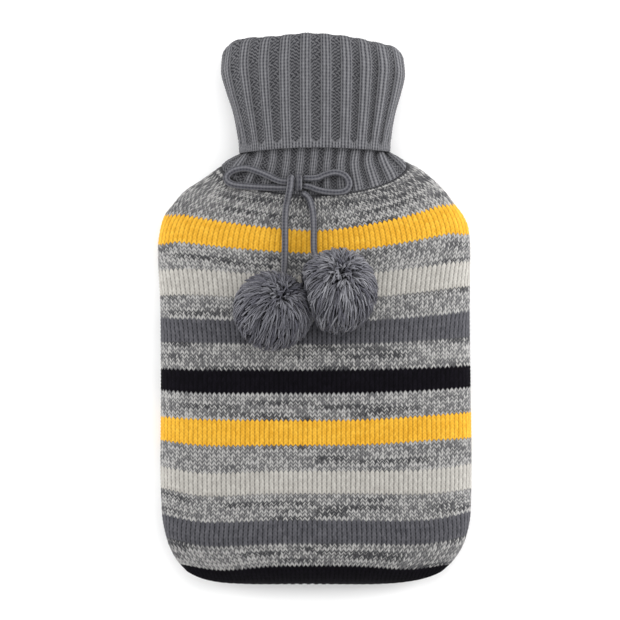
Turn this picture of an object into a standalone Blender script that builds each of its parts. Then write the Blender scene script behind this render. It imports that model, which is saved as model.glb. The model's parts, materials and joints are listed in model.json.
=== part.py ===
"""Knitted hot water bottle cover, lying filled on its back with the collar towards +Y.

Metres, +Z up. The origin is under the middle of the cover, on the surface it lies on.
"""
import math
from collections import namedtuple

import bmesh
import bpy
from mathutils import Vector

MM = 0.001

# The knitted cloth.
WALL = 3.0 * MM  # thickness of the cloth, striped body and ribbed collar alike
PIECE_GAP = 0.3 * MM  # room left between two pieces that meet
OVAL = 2.8  # how square the cross-sections are; 2 is an ellipse
FINE = 360  # steps used to measure the way round a cross-section
SETTLE = 4  # passes that bring a point of a curved ring to its own height

# The striped body.
BODY_POINTS = 60  # points round the body
YOKE_EDGE = 73.0 * MM  # height of the edge between stripes and yoke, at the middle line
YOKE_RISE = 19.0 * MM  # how much higher that edge runs at the sides

# The ribbed collar.
RIBS = 22
POINTS_PER_RIB = 4  # two on the rib, two in the groove beside it
RIB_WAVE = 0.9 * MM  # how far ribs stand out from, and grooves fall in from, the middle
COLLAR_GAP = 1.5 * MM  # room between the neck and the collar turned down over it
COLLAR_TOP = 176.0 * MM
COLLAR_HEM = 101.8 * MM
HEM_WALL = 2.0 * MM  # the cloth thins at its cast-off edge
FOLD_STEPS = 4  # steps round the fold at the collar's top

# The drawn-up bow and its pompoms.
CORD = 4.4 * MM  # diameter in the loops
TAIL_CORD = 3.7 * MM  # the tails are pulled thinner
CORD_STEP = 4.6 * MM  # distance between the points of a cord
CORD_SMOOTH = 12  # steps between two points of a route when it is smoothed
KNOT_SIZE = Vector((5.2, 11.5, 9.2)) * MM
KNOT_PLACE = (-10.3 * MM, 80.3 * MM)
KNOT_CAGE = 1.12  # a subdivided cube is drawn in, so its cage is larger
CORE = 12.0 * MM  # radius of a pompom's tied core
LOCKS = 124  # tufts in each pompom
LOCK_INSET = 0.45 * MM
LOCK_FLARE = 1.3  # a tuft's tip against its root
LOCK_POINT = 2.2 * MM  # a tuft's rounded end
LOCK_LEAST = 1.0 * MM  # the least that a tuft stands out of the core
LOCK_TRIM = 0.2 * MM  # a tuft that touches something is cut back by this much at a time

Row = namedtuple("Row", "y left right low mid front")

# Outer face of the filled cover from its bottom edge to the neck, in millimetres: height along the
# cover, reach to the left and right of the middle line, level of the back, of the widest point and
# of the front. The back lies flat where its level would be below the surface.
SKIN = [
    Row(-176.0, 46.5, 47.5, 9.5, 13.0, 17.5),
    Row(-174.7, 64.5, 58.5, 5.5, 13.0, 22.0),
    Row(-171.5, 76.0, 73.5, 2.5, 13.5, 27.0),
    Row(-167.0, 82.4, 82.0, 0.0, 14.5, 31.5),
    Row(-159.3, 89.7, 90.5, -1.5, 16.0, 35.5),
    Row(-147.8, 94.8, 96.7, -2.0, 17.0, 39.0),
    Row(-130.3, 98.1, 100.1, -2.0, 18.0, 41.5),
    Row(-100.3, 99.0, 100.7, -2.0, 18.5, 43.0),
    Row(-50.3, 98.7, 100.1, -2.0, 18.5, 43.5),
    Row(-0.3, 99.0, 99.5, -2.0, 18.5, 43.5),
    Row(37.7, 100.7, 99.9, -2.0, 18.0, 42.5),
    Row(51.9, 99.0, 98.7, -2.0, 18.0, 41.0),
    Row(59.7, 96.5, 95.5, -2.0, 17.5, 40.0),
    Row(67.2, 90.7, 89.8, -2.0, 17.5, 38.5),
    Row(74.9, 84.1, 84.0, -2.0, 17.0, 37.0),
    Row(82.7, 73.3, 76.5, -2.0, 17.0, 35.5),
    Row(90.3, 63.9, 68.5, -1.5, 17.5, 34.5),
    Row(95.7, 56.0, 57.5, 0.5, 18.0, 34.0),
    Row(99.2, 48.5, 48.5, 2.5, 18.5, 34.0),
    Row(102.7, 44.0, 43.7, 4.3, 19.0, 34.0),
]

# Outer face of the collar, from its hem to the fold, in the same columns.
COLLAR = [
    Row(101.8, 48.5, 48.2, -0.5, 19.0, 38.5),
    Row(113.3, 50.5, 49.0, -0.5, 19.5, 39.5),
    Row(128.7, 53.6, 52.0, -0.5, 20.5, 41.0),
    Row(144.0, 58.7, 56.5, -0.5, 21.5, 43.0),
    Row(155.7, 60.3, 57.9, -0.5, 22.0, 44.0),
    Row(163.7, 59.3, 56.1, -0.5, 22.0, 44.0),
    Row(176.0, 57.5, 53.5, -0.5, 22.0, 43.5),
]

# Rings of the striped body: height at the middle line and how much higher the ring runs at the sides.
Ring = namedtuple("Ring", "middle rise")
BODY_RINGS = [
    Ring(-176.0, 0.0),
    Ring(-174.7, 0.0),
    Ring(-171.5, 0.0),
    Ring(-167.0, 0.0),
    Ring(-159.3, 0.0),
    Ring(-147.8, 0.0),
    Ring(-130.3, 0.0),
    Ring(-98.3, 0.0),
    Ring(-60.3, 1.0),
    Ring(-20.3, 2.0),
    Ring(14.7, 4.0),
    Ring(33.7, 7.0),
    Ring(44.7, 9.6),
    Ring(52.7, 12.0),
    Ring(59.7, 14.4),
    Ring(66.7, 16.8),
]

# Routes of the cord, in millimetres: across, along, and height of its centre above the cloth.
LOOP_LEFT = [
    (-13.1, 81.0, 5.6), (-18.5, 81.1, 5.6), (-23.0, 81.9, 5.0), (-27.5, 83.9, 4.2), (-32.5, 86.3, 3.8),
    (-37.6, 88.2, 3.8), (-42.7, 89.7, 3.9), (-47.8, 89.5, 4.0), (-52.7, 87.9, 3.9), (-55.9, 84.9, 3.6),
    (-55.7, 81.7, 3.3), (-52.5, 79.6, 3.1), (-47.8, 78.7, 3.0), (-41.4, 78.1, 3.0), (-33.7, 77.6, 3.0),
    (-26.0, 77.3, 3.1), (-18.5, 77.2, 3.1), (-13.1, 77.2, 3.1),
]
LOOP_RIGHT = [
    (-7.5, 83.3, 4.6), (-2.4, 83.1, 4.4), (2.1, 83.7, 4.0), (6.6, 85.6, 3.8), (13.0, 87.0, 3.8),
    (19.1, 85.1, 3.7), (21.9, 80.7, 3.5), (20.9, 76.6, 3.3), (17.1, 74.6, 3.2), (9.5, 74.5, 3.2),
    (2.1, 75.8, 3.2), (-3.1, 77.7, 3.4), (-7.5, 78.5, 3.6),
]
TAIL_LEFT = [
    (-14.1, 84.5, 8.6), (-15.2, 83.1, 10.1), (-15.4, 80.3, 10.6), (-15.7, 77.1, 10.3), (-16.5, 73.1, 8.2),
    (-17.5, 68.7, 4.6), (-18.4, 64.3, 2.6), (-18.8, 58.2, 2.3), (-18.9, 49.7, 2.3), (-18.9, 40.7, 2.3),
    (-19.0, 31.7, 2.5), (-19.3, 25.7, 4.2),
]
TAIL_RIGHT = [
    (-9.9, 73.8, 4.8), (-8.2, 72.4, 3.8), (-6.0, 70.6, 2.9), (-4.1, 68.0, 2.4), (-2.5, 64.3, 2.3),
    (-1.0, 59.3, 2.3), (-0.4, 52.7, 2.3), (-0.2, 45.7, 2.3), (-0.1, 40.2, 2.9), (1.3, 35.2, 4.8),
]

# The pompoms, in millimetres: across, along, height of the centre above the cloth, reach, the way from
# the centre to where the cord comes in, and the way its tufts are combed, as a share of their length.
Tuft = namedtuple("Tuft", "name across along lift reach entry combed seed")
POMPOMS = [
    Tuft("left", -27.7, 0.0, 15.6, 25.6, (7.6, 21.8, -8.0), (0.02, -0.10, 0.0), 3),
    Tuft("right", 13.6, 12.2, 15.8, 27.0, (-11.0, 22.0, -8.0), (0.10, -0.22, 0.0), 8),
]
POMPOM_SQUASH = 0.86  # a pompom's height against its width
UNEVEN = 0.09  # how much the tufts differ in length
UNEVEN_TURN = 2.4  # from one tuft to the next, so that neighbours differ
ENTRY_CONE = math.radians(28)  # no tufts stand where the cord comes in
ENTRY_START = 0.8  # share of a pompom's reach at which its cord turns towards the core

# Colours (linear) and finish of the yarns.
YARNS = {
    "stripes": ((0.26, 0.25, 0.22), 0.95),
    "grey": ((0.15, 0.15, 0.16), 0.95),
    "cord": ((0.14, 0.14, 0.15), 0.95),
    "pompom": ((0.13, 0.14, 0.16), 1.0),
}


# ---- outline of the cover ----

def spline(before, start, end, after, t):
    """Value between start and end on a smooth curve through all four."""
    pull_in = (end - before) / 2
    pull_out = (after - start) / 2
    return (
        (2 * t**3 - 3 * t**2 + 1) * start
        + (t**3 - 2 * t**2 + t) * pull_in
        + (3 * t**2 - 2 * t**3) * end
        + (t**3 - t**2) * pull_out
    )


def row_at(rows, y):
    """The outline at a height in metres, smooth between the rows of a table."""
    wanted = y / MM
    last = len(rows) - 2
    k = max(0, min(last, sum(1 for row in rows if row.y <= wanted) - 1))
    start, end = rows[k], rows[k + 1]
    t = min(1.0, max(0.0, (wanted - start.y) / (end.y - start.y)))
    before, after = rows[max(0, k - 1)], rows[min(last + 1, k + 2)]
    values = []
    for column in Row._fields[1:]:
        low, high = getattr(start, column), getattr(end, column)
        slope_in = side_slope(before, start, end, column) * (end.y - start.y)
        slope_out = side_slope(start, end, after, column) * (end.y - start.y)
        values.append(
            (2 * t**3 - 3 * t**2 + 1) * low
            + (t**3 - 2 * t**2 + t) * slope_in
            + (3 * t**2 - 2 * t**3) * high
            + (t**3 - t**2) * slope_out
        )
    return Row(y, *(value * MM for value in values))


def side_slope(before, here, after, column):
    """Slope of one column at a row, flat where the column turns back."""
    value = getattr(here, column)
    if before is here or after is here:
        return (getattr(after, column) - getattr(before, column)) / (after.y - before.y)
    fall = (value - getattr(before, column)) / (here.y - before.y)
    rise = (getattr(after, column) - value) / (after.y - here.y)
    return 0.0 if fall * rise <= 0 else 2 * fall * rise / (fall + rise)


def shrunk(row, by):
    """The same outline, drawn in by a distance all round."""
    return Row(row.y, row.left - by, row.right - by, row.low + by, row.mid, row.front - by)


def oval(row, angle, floor=0.0):
    """Across and up on a cross-section: a quarter turn is the front's middle, half a turn the left."""
    c, s = math.cos(angle), math.sin(angle)
    reach = row.right if c > 0 else row.left
    rise = row.front - row.mid if s > 0 else row.mid - row.low
    x = math.copysign(abs(c) ** (2 / OVAL), c) * reach
    z = row.mid + math.copysign(abs(s) ** (2 / OVAL), s) * rise
    return x, max(z, floor)


def even_angles(row, count):
    """Angles of evenly spaced points round a cross-section, from the front's middle by the left."""
    angles = [math.pi / 2 + 2 * math.pi * k / FINE for k in range(FINE + 1)]
    points = [Vector(oval(row, angle)) for angle in angles]
    walked = [0.0]
    for here, there in zip(points, points[1:]):
        walked.append(walked[-1] + (there - here).length)
    spaced, k = [], 0
    for i in range(count):
        wanted = walked[-1] * i / count
        while walked[k + 1] < wanted:
            k += 1
        share = (wanted - walked[k]) / (walked[k + 1] - walked[k])
        spaced.append(angles[k] + share * (angles[k + 1] - angles[k]))
    return spaced


def arched(x, row, middle, rise):
    """Height of a ring that climbs from the middle line to the sides."""
    reach = row.left if x < 0 else row.right
    return middle + rise * min(1.0, abs(x) / reach) ** 2


def front_level(x, y):
    """Level of the cover's outer face under a point of its front."""
    row = row_at(SKIN, y)
    reach = row.left if x < 0 else row.right
    share = min(1.0, abs(x) / reach)
    return row.mid + (1 - share**OVAL) ** (1 / OVAL) * (row.front - row.mid)


# ---- making objects ----

def new_collection(name):
    collection = bpy.data.collections.new(name)
    bpy.context.scene.collection.children.link(collection)
    return collection


def yarn_material(name):
    colour, roughness = YARNS[name]
    material = bpy.data.materials.new(name)
    material.use_nodes = True
    shader = material.node_tree.nodes["Principled BSDF"]
    shader.inputs["Base Color"].default_value = (*colour, 1.0)
    shader.inputs["Roughness"].default_value = roughness
    shader.inputs["Metallic"].default_value = 0.0
    return material


def add_object(name, data, yarn):
    part = bpy.data.objects.new(name, data)
    part.data.materials.append(bpy.data.materials.get(yarn) or yarn_material(yarn))
    bpy.data.collections["bottle_cover"].objects.link(part)
    return part


def mesh_from(build):
    """A smooth-shaded mesh from a bmesh, its faces turned outwards."""
    bmesh.ops.recalc_face_normals(build, faces=build.faces)
    mesh = bpy.data.meshes.new("knit")
    build.to_mesh(mesh)
    build.free()
    mesh.shade_smooth()
    return mesh


def skin_rings(build, rings, closed):
    """Quads between successive rings of vertices, round to the first ring again when closed."""
    pairs = zip(rings, rings[1:] + rings[:1]) if closed else zip(rings, rings[1:])
    for lower, upper in pairs:
        for i in range(len(lower)):
            j = (i + 1) % len(lower)
            build.faces.new((lower[i], lower[j], upper[j], upper[i]))


# ---- striped body ----

def body_ring(middle, rise):
    """One ring of the body's outer face."""
    nominal = row_at(SKIN, middle)
    points = []
    for angle in even_angles(nominal, BODY_POINTS):
        row = nominal
        for _ in range(SETTLE):
            x, z = oval(row, angle)
            row = row_at(SKIN, arched(x, row, middle, rise))
        points.append(Vector((x, row.y, z)))
    return points


def striped_body():
    rings = [body_ring(ring.middle * MM, ring.rise * MM) for ring in BODY_RINGS]
    rings.append(body_ring(YOKE_EDGE - PIECE_GAP / 2, YOKE_RISE))
    build = bmesh.new()
    rows = [[build.verts.new(point) for point in ring] for ring in rings]
    skin_rings(build, rows, closed=False)
    close_bottom(build, rows[0])
    part = add_object("cover_body", mesh_from(build), "stripes")
    shell = part.modifiers.new("cloth", "SOLIDIFY")
    shell.thickness = WALL
    shell.offset = -1.0
    shell.use_rim = True
    return part


def close_bottom(build, ring):
    """Joins the front of the flattened bottom ring to its back."""
    half, quarter = len(ring) // 2, len(ring) // 4
    for side in (1, -1):
        for i in range(quarter):
            front, front_next = ring[side * i], ring[side * (i + 1)]
            back, back_next = ring[half - side * i], ring[half - side * (i + 1)]
            corners = [front, front_next, back_next, back]
            build.faces.new(corners[:2] + corners[3:] if front_next is back_next else corners)


# ---- ribbed yoke, neck and turned-down collar, one knitted piece ----

def top_droop(x):
    """How far the collar's top edge lies below its middle, across the collar."""
    return (2.0 * (x / (40 * MM)) ** 2 + 8.0 * (x / (60 * MM)) ** 8) * MM


def yoke_line(middle, rise):
    return lambda x, row: arched(x, row, middle, rise)


def collar_line(share):
    """A line between hem and top of the turned-down collar, following the top's droop."""
    return lambda x, row: COLLAR_HEM + share * (COLLAR_TOP - top_droop(x) - COLLAR_HEM)


def fold_line(share, rise):
    return lambda x, row: collar_line(share)(x, row) + rise


# Each station of the ribbed piece: the table it follows, how far inside that table's face the middle
# of the cloth lies, its line along the cover, the thickness there and how strong the ribs are.
Station = namedtuple("Station", "rows inset line nominal wall ribs")


def ribbed_stations():
    half = WALL / 2
    neck_inset = WALL + COLLAR_GAP + half
    fold_radius = (neck_inset - half) / 2
    stations = []
    yoke_steps = [  # height at the middle, rise at the sides, strength of the ribs
        (YOKE_EDGE + PIECE_GAP / 2, YOKE_RISE, 0.0),
        (YOKE_EDGE + 3 * MM, YOKE_RISE * 0.92, 0.8),
        (82.0 * MM, YOKE_RISE * 0.72, 1.0),
        (91.0 * MM, YOKE_RISE * 0.40, 1.0),
        (98.0 * MM, YOKE_RISE * 0.12, 1.0),
    ]
    for middle, rise, ribs in yoke_steps:
        stations.append(Station(SKIN, half, yoke_line(middle, rise), middle, WALL, ribs))
    for share in (0.08, 0.40, 0.72):
        line = collar_line(share)
        stations.append(Station(COLLAR, neck_inset, line, line(0, None), WALL, 1.0))
    top_share = 1 - (fold_radius + half) / (COLLAR_TOP - COLLAR_HEM)
    for step in range(FOLD_STEPS + 1):
        turn = math.pi * step / FOLD_STEPS
        inset = neck_inset - fold_radius * (1 - math.cos(turn))
        line = fold_line(top_share, fold_radius * math.sin(turn))
        stations.append(Station(COLLAR, inset, line, line(0, None), WALL, 1.0 - 0.5 * math.sin(turn)))
    for share in (0.78, 0.58, 0.38, 0.18):
        line = collar_line(share)
        stations.append(Station(COLLAR, half, line, line(0, None), WALL, 1.0))
    hem = collar_line(0.03)
    stations.append(Station(COLLAR, half, hem, hem(0, None), WALL, 0.8))
    end = collar_line(0.0)
    stations.append(Station(COLLAR, half, end, end(0, None), HEM_WALL, 0.5))
    return stations


def station_ring(station):
    """Middle of the cloth round the cover at one station."""
    nominal = row_at(station.rows, station.nominal)
    floor = RIB_WAVE + WALL / 2
    points = []
    for angle in even_angles(shrunk(nominal, station.inset), RIBS * POINTS_PER_RIB):
        row = nominal
        for _ in range(SETTLE):
            x, z = oval(shrunk(row, station.inset), angle, floor)
            row = row_at(station.rows, station.line(x, shrunk(row, station.inset / 2)))
        points.append(Vector((x, row.y, z)))
    return points


def cloth_normal(grid, j, i):
    """The cloth's normal at a station and a point round it, outwards on the neck."""
    count = len(grid[j])
    along = grid[min(j + 1, len(grid) - 1)][i] - grid[max(j - 1, 0)][i]
    across = grid[j][(i + 1) % count] - grid[j][i - 1]
    return across.cross(along).normalized()


def rib_height(i):
    """Ribs stand out at two points of four and fall in at the other two."""
    return RIB_WAVE if i % POINTS_PER_RIB in (1, 2) else -RIB_WAVE


def ribbed_collar():
    stations = ribbed_stations()
    grid = [station_ring(station) for station in stations]
    build = bmesh.new()
    face, reverse = [], []
    for j, station in enumerate(stations):
        outer, inner = [], []
        for i, point in enumerate(grid[j]):
            normal = cloth_normal(grid, j, i)
            away = outward(grid[j], i, normal)
            lifted = point + away * rib_height(i) * station.ribs
            outer.append(build.verts.new(lifted + normal * station.wall / 2))
            inner.append(build.verts.new(lifted - normal * station.wall / 2))
        face.append(outer)
        reverse.append(inner)
    skin_rings(build, face + reverse[::-1], closed=True)
    return add_object("rib_collar", mesh_from(build), "grey")


def outward(ring, i, normal):
    """The part of the ring's own outward direction that ribs move along."""
    count = len(ring)
    step = ring[(i + 1) % count] - ring[i - 1]
    away = Vector((step.z, 0.0, -step.x)).normalized()
    return away if away.dot(ring[i] - sum(ring, Vector()) / count) > 0 else -away


# ---- bow ----

def cord_points(route, step):
    """Points at even steps on a smooth curve through a route that is given over the cloth."""
    placed = []
    for across, along, lift in route:
        x, y = across * MM, along * MM
        placed.append(Vector((x, y, front_level(x, y) + lift * MM)))
    return evened(placed, step)


def evened(placed, step):
    padded = [2 * placed[0] - placed[1]] + placed + [2 * placed[-1] - placed[-2]]
    fine = []
    for before, start, end, after in zip(padded, padded[1:], padded[2:], padded[3:]):
        fine += [spline(before, start, end, after, k / CORD_SMOOTH) for k in range(CORD_SMOOTH)]
    fine.append(placed[-1])
    total = sum((b - a).length for a, b in zip(fine, fine[1:]))
    count = round(total / step)
    points, walked, k = [fine[0]], 0.0, 0
    for i in range(1, count):
        wanted = total * i / count
        while walked + (fine[k + 1] - fine[k]).length < wanted:
            walked += (fine[k + 1] - fine[k]).length
            k += 1
        share = (wanted - walked) / (fine[k + 1] - fine[k]).length
        points.append(fine[k].lerp(fine[k + 1], share))
    return points + [fine[-1]]


def cord_tube(name, points, diameter):
    curve = bpy.data.curves.new(name, "CURVE")
    curve.dimensions = "3D"
    curve.bevel_depth = diameter / 2
    curve.bevel_resolution = 2
    curve.use_fill_caps = True
    run = curve.splines.new("POLY")
    run.points.add(len(points) - 1)
    for knot, point in zip(run.points, points):
        knot.co = (*point, 1.0)
    return add_object(name, curve, "cord")


def bow_knot():
    """The tight wrap that the loops and tails come out of."""
    x, y = KNOT_PLACE
    rest = front_level(x, y) + PIECE_GAP
    build = bmesh.new()
    bmesh.ops.create_cube(build, size=1.0)
    part = add_object("bow_knot", mesh_from(build), "cord")
    for vertex in part.data.vertices:
        vertex.co = Vector(a * b for a, b in zip(vertex.co, KNOT_SIZE * KNOT_CAGE))
    part.location = (x, y, rest + KNOT_SIZE.z / 2)
    round_off = part.modifiers.new("rounded", "SUBSURF")
    round_off.levels = 2
    round_off.render_levels = 2
    return part


# ---- pompoms ----

def sphere_points(count):
    """Evenly spread directions, by the golden angle."""
    golden = math.pi * (3 - math.sqrt(5))
    for k in range(count):
        z = 1 - 2 * (k + 0.5) / count
        ring = math.sqrt(1 - z * z)
        yield Vector((ring * math.cos(golden * k), ring * math.sin(golden * k), z))


def pompom_centre(tuft):
    x, y = tuft.across * MM, tuft.along * MM
    return Vector((x, y, front_level(x, y) + tuft.lift * MM))


def lock_length(way, tip_spread, tuft, wanted):
    """The longest tuft up to the wanted one that stays off the cloth and the other pompom."""
    centre = pompom_centre(tuft)
    other = next(t for t in POMPOMS if t.name != tuft.name)
    toward = pompom_centre(other) - centre
    distance = toward.length
    reach, reach_other = tuft.reach * MM, other.reach * MM
    border = (distance**2 + reach**2 - reach_other**2) / (2 * distance) - PIECE_GAP
    toward.normalize()
    length = wanted
    while length > CORE:
        tips = [way * (length + LOCK_POINT)] + [way * length + spread for spread in tip_spread]
        clear = all(
            (centre + tip).z > front_level(centre.x + tip.x, centre.y + tip.y) + 2 * PIECE_GAP
            and tip.dot(toward) < border
            for tip in tips
        )
        if clear:
            return length
        length -= LOCK_TRIM
    return CORE


def pompom(tuft):
    """A tied core with a tuft growing out of each facet, shorter underneath and where it is pressed."""
    centre = pompom_centre(tuft)
    entry = Vector(tuft.entry).normalized()
    build = bmesh.new()
    for direction in sphere_points(LOCKS // 2 + 2):
        build.verts.new(direction * CORE)
    bmesh.ops.convex_hull(build, input=build.verts)
    bmesh.ops.recalc_face_normals(build, faces=build.faces)
    facets = [f for f in build.faces if f.normal.angle(entry) > ENTRY_CONE]
    bmesh.ops.inset_individual(build, faces=facets, thickness=LOCK_INSET, use_even_offset=True)
    grown = bmesh.ops.extrude_discrete_faces(build, faces=facets)["faces"]
    combed = Vector(tuft.combed)
    for k, face in enumerate(grown):
        root = face.calc_center_median()
        way = (root.normalized() + combed).normalized()
        height = math.sqrt(way.x**2 + way.y**2 + (way.z * POMPOM_SQUASH) ** 2)
        uneven = 1 + UNEVEN * math.sin(UNEVEN_TURN * k * tuft.seed + tuft.seed)
        wanted = tuft.reach * MM * height * (uneven - UNEVEN) - LOCK_POINT
        spreads = [(vertex.co - root) * LOCK_FLARE for vertex in face.verts]
        length = max(lock_length(way, spreads, tuft, wanted), root.length + LOCK_LEAST)
        for vertex, spread in zip(face.verts, spreads):
            vertex.co = way * length + spread
    bmesh.ops.poke(build, faces=grown, offset=LOCK_POINT)
    part = add_object("pompom_" + tuft.name, mesh_from(build), "pompom")
    part.location = centre
    return part


def tail_end(tuft):
    """Where a tail meets the core of its pompom."""
    way = Vector(tuft.entry).normalized()
    return pompom_centre(tuft) + way * (CORE + PIECE_GAP / 2)


def bow():
    cord_tube("bow_loop_left", cord_points(LOOP_LEFT, CORD_STEP), CORD)
    cord_tube("bow_loop_right", cord_points(LOOP_RIGHT, CORD_STEP), CORD)
    bow_knot()
    for tuft, route in zip(POMPOMS, (TAIL_LEFT, TAIL_RIGHT)):
        placed = cord_points(route, CORD_STEP)
        way = Vector(tuft.entry).normalized()
        run_in = [pompom_centre(tuft) + way * (tuft.reach * MM * ENTRY_START), tail_end(tuft)]
        cord_tube("tail_" + tuft.name, evened(placed + run_in, CORD_STEP), TAIL_CORD)


for thing in list(bpy.data.objects):
    bpy.data.objects.remove(thing, do_unlink=True)
new_collection("bottle_cover")
striped_body()
ribbed_collar()
bow()
for one in POMPOMS:
    pompom(one)
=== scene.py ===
import json
import math

import bpy
import numpy as np
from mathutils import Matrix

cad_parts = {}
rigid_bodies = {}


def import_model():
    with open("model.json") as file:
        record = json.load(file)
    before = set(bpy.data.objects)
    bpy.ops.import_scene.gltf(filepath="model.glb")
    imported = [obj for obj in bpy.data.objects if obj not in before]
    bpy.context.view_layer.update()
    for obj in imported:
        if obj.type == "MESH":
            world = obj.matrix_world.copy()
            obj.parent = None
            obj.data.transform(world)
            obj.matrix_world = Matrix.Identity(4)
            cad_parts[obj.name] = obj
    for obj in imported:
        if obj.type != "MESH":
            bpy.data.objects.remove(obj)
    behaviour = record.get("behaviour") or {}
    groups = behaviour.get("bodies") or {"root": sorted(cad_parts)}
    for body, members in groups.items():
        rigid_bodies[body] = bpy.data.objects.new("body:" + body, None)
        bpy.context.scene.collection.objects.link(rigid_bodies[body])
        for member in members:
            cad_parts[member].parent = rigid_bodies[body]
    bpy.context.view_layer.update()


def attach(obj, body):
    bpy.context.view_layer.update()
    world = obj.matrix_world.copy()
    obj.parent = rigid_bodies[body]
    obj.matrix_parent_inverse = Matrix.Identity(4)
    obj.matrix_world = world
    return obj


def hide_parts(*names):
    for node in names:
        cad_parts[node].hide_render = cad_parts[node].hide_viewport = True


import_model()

mm = 0.001


# rows hold the height along the cover, the reach left and right, and the level of the back, of the widest
# point and of the front
outline = {
    "squareness": 2.8,
    "wales": 142,  # round the body
    "skin": [
        (-176, 56, 53, 9.5, 13, 17.5), (-174.7, 71, 65.5, 5.5, 13, 22),
        (-171.5, 78.7, 77, 2.5, 13.5, 27), (-167, 83.2, 83, 0, 14.5, 31.5),
        (-159.3, 89.7, 90.5, -1.5, 16, 35.5), (-147.8, 94.8, 96.7, -2, 17, 39),
        (-130.3, 98.1, 100.1, -2, 18, 41.5), (-100.3, 99, 100.7, -2, 18.5, 43),
        (-50.3, 98.7, 100.1, -2, 18.5, 43.5), (-0.3, 99, 99.5, -2, 18.5, 43.5),
        (37.7, 100.7, 99.9, -2, 18, 42.5), (51.9, 99, 98.7, -2, 18, 41),
        (59.7, 96.5, 95.5, -2, 17.5, 40), (67.2, 90.7, 89.8, -2, 17.5, 38.5),
        (74.9, 84.1, 84, -2, 17, 37), (82.7, 72.4, 76.3, -2, 17, 35.5),
        (90.3, 61.8, 66.4, -1.5, 17.5, 34.5), (95.7, 51.6, 54.7, 0.5, 18, 34),
        (99.2, 44.6, 46.8, 2.5, 18.5, 34), (102.7, 41.2, 42.5, 4.3, 19, 34),
    ],
    "collar": [
        (101.8, 47.8, 47.8, -0.5, 19, 38.5), (113.3, 48.7, 48.4, -0.5, 19.5, 39.5),
        (128.7, 51.8, 51.2, -0.5, 20.5, 41), (144, 56.9, 55.6, -0.5, 21.5, 43),
        (155.7, 59.3, 57.3, -0.5, 22, 44), (163.7, 58.9, 55.8, -0.5, 22, 44),
        (176, 57.3, 53.3, -0.5, 22, 43.5),
    ],
    "wall": 3.0,
    "roundSteps": 1440,  # steps that the way round a cross-section is measured in
}


def unit(vectors):
    return vectors / np.linalg.norm(vectors, axis=-1, keepdims=True)


# a cubic curve for t from 0 to 1, with its rates at the start and at the end
def curveBetween(t, start, end, startRate, endRate):
    return ((2 * t**3 - 3 * t**2 + 1) * start + (t**3 - 2 * t**2 + t) * startRate
            + (3 * t**2 - 2 * t**3) * end + (t**3 - t**2) * endRate)


# a smooth curve through values at the distances s, which change at the given rates
def curveThrough(s, values, rates, wanted):
    k = np.clip(np.searchsorted(s, wanted, side="right") - 1, 0, len(s) - 2)
    shape = np.shape(wanted) + (1,) * (values.ndim - 1)
    step = np.reshape(s[k + 1] - s[k], shape)
    t = np.clip(np.reshape(wanted - s[k], shape) / step, 0, 1)
    return curveBetween(t, values[k], values[k + 1], rates[k] * step, rates[k + 1] * step)


# every column of a table whose first column is the height, at any height
def smoothTable(rows, scale=mm):
    table = np.array(rows, dtype=float) * scale
    y, columns = table[:, 0], table[:, 1:]
    slope = np.diff(columns, axis=0) / np.diff(y)[:, None]
    same = slope[1:] * slope[:-1] > 0
    both = np.where(same, slope[1:] + slope[:-1], 1.0)
    pull = np.vstack([slope[:1], np.where(same, 2 * slope[1:] * slope[:-1] / both, 0.0), slope[-1:]])

    return lambda height: curveThrough(y, columns, pull, height)


skinAt = smoothTable(outline["skin"])
collarAt = smoothTable(outline["collar"])


# the distance to each point of a line, along it
def walkedAlong(line):
    return np.concatenate([[0], np.cumsum(np.linalg.norm(np.diff(line, axis=0), axis=1))])


def pointsAt(line, walked, wanted):
    return np.stack([np.interp(wanted, walked, line[:, axis]) for axis in range(3)], axis=1)


# across and up on a cross-section that is drawn in by a distance; a quarter turn is the front's middle
def ovalPoint(row, angle, inset, floor):
    left, right, low, mid, front = np.moveaxis(row, -1, 0)
    c, s = np.cos(angle), np.sin(angle)
    power = 2 / outline["squareness"]
    reach = np.where(c > 0, right, left) - inset
    rise = np.where(s > 0, front - inset - mid, mid - low - inset)
    x = np.sign(c) * np.abs(c) ** power * reach
    z = mid + np.sign(s) * np.abs(s) ** power * rise
    return x, np.maximum(z, floor)


# rings of points at shares of the way round, each on a line of its own; crowd spreads the columns out in
# front, and gather draws them together at the sides
def ringPoints(tableAt, nominal, lineOf, shares, inset, floor, crowd=0.0, gather=0.0):
    turn = np.linspace(0, 2 * math.pi, outline["roundSteps"] + 1)
    height = np.repeat(np.array(nominal)[:, None], len(turn), axis=1)
    for _ in range(5):
        row = tableAt(height)
        x, z = ovalPoint(row, math.pi / 2 + turn, inset, floor)
        height = lineOf(x, row)
    out = []
    for line, spread in zip(np.stack([x, height, z], axis=-1), np.broadcast_to(crowd, len(nominal))):
        warped = shares + spread * np.sin(2 * math.pi * shares) / (2 * math.pi)
        warped = warped + gather * np.sin(4 * math.pi * shares) / (4 * math.pi)
        walked = walkedAlong(line)
        out.append(pointsAt(line, walked, warped % 1.0 * walked[-1]))
    return np.stack(out)


# normals of a grid of points that closes on itself along its second axis
def gridNormals(grid):
    across = np.roll(grid, -1, axis=1) - np.roll(grid, 1, axis=1)
    return unit(np.cross(across, np.gradient(grid, axis=0)))


# values of a grid of rings at places between its rows, for the columns that are wanted
def sampleRows(grid, place, columns):
    place = np.clip(place, 0, len(grid) - 1.001)
    k = place.astype(int)
    share = (place - k)[..., None]
    return grid[k, columns] * (1 - share) + grid[k + 1, columns] * share


# level of the cover's outer face under points of its front
def frontLevel(x, y):
    left, right, _, mid, front = np.moveaxis(skinAt(np.asarray(y)), -1, 0)
    share = np.clip(np.abs(x) / np.where(x < 0, left, right), 0, 1)
    power = outline["squareness"]
    return mid + (1 - share**power) ** (1 / power) * (front - mid)


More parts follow.
